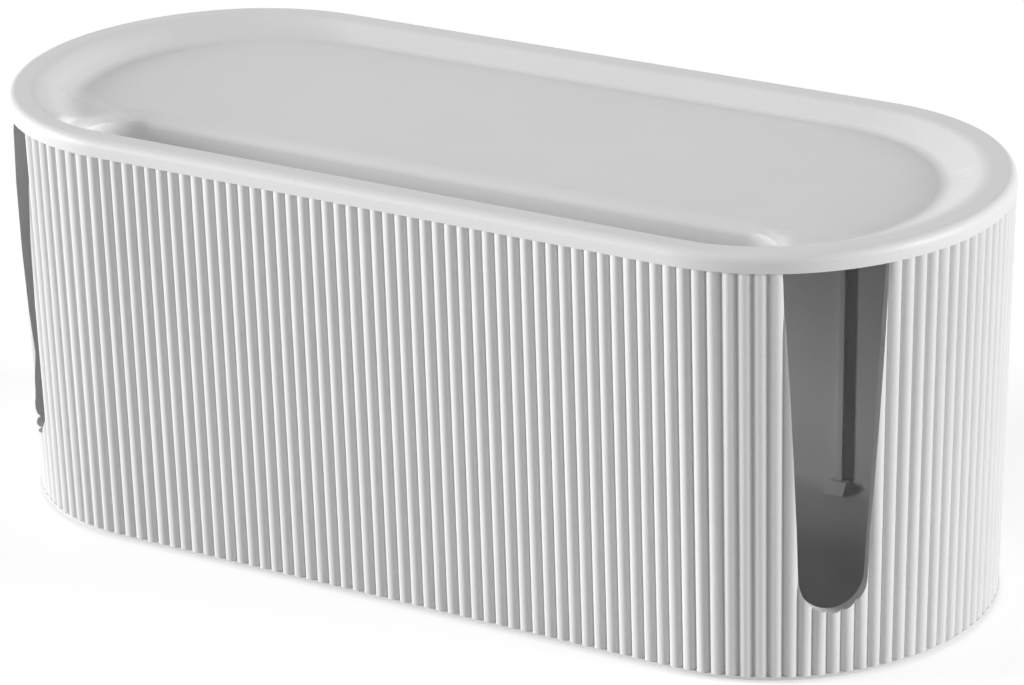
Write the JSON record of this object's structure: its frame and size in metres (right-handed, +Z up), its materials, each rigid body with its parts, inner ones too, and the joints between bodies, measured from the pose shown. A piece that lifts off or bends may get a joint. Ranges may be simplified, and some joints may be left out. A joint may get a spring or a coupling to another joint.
{
  "type": "cable management box",
  "caption": "Oblong ribbed plastic box for a power strip and its cables, with tapered cable slots in the front corners and a lift-off dished lid with a phone groove.",
  "frame": {"origin": "on the table, under the middle of the box", "axes": "+X along the length towards the viewer's right, +Y towards the back, +Z up; the phone groove and both cable slots are at the front, -Y"},
  "size_m": [0.32, 0.1396, 0.1284],
  "materials": {
    "tub_plastic": "satin",
    "lid_plastic": "fine matt",
    "foot_rubber": "matt"
  },
  "bodies": {
    "tub": {"tub": "tub_plastic", "foot_front_left": "foot_rubber", "foot_front_right": "foot_rubber", "foot_rear_left": "foot_rubber", "foot_rear_right": "foot_rubber"},
    "lid": {"lid": "lid_plastic"}
  },
  "joints": [
    {"name": "lid_lift", "type": "slide", "parent": "tub", "child": "lid", "axis": [0, 0, 1], "range_m": [0, 0.05]}
  ]
}
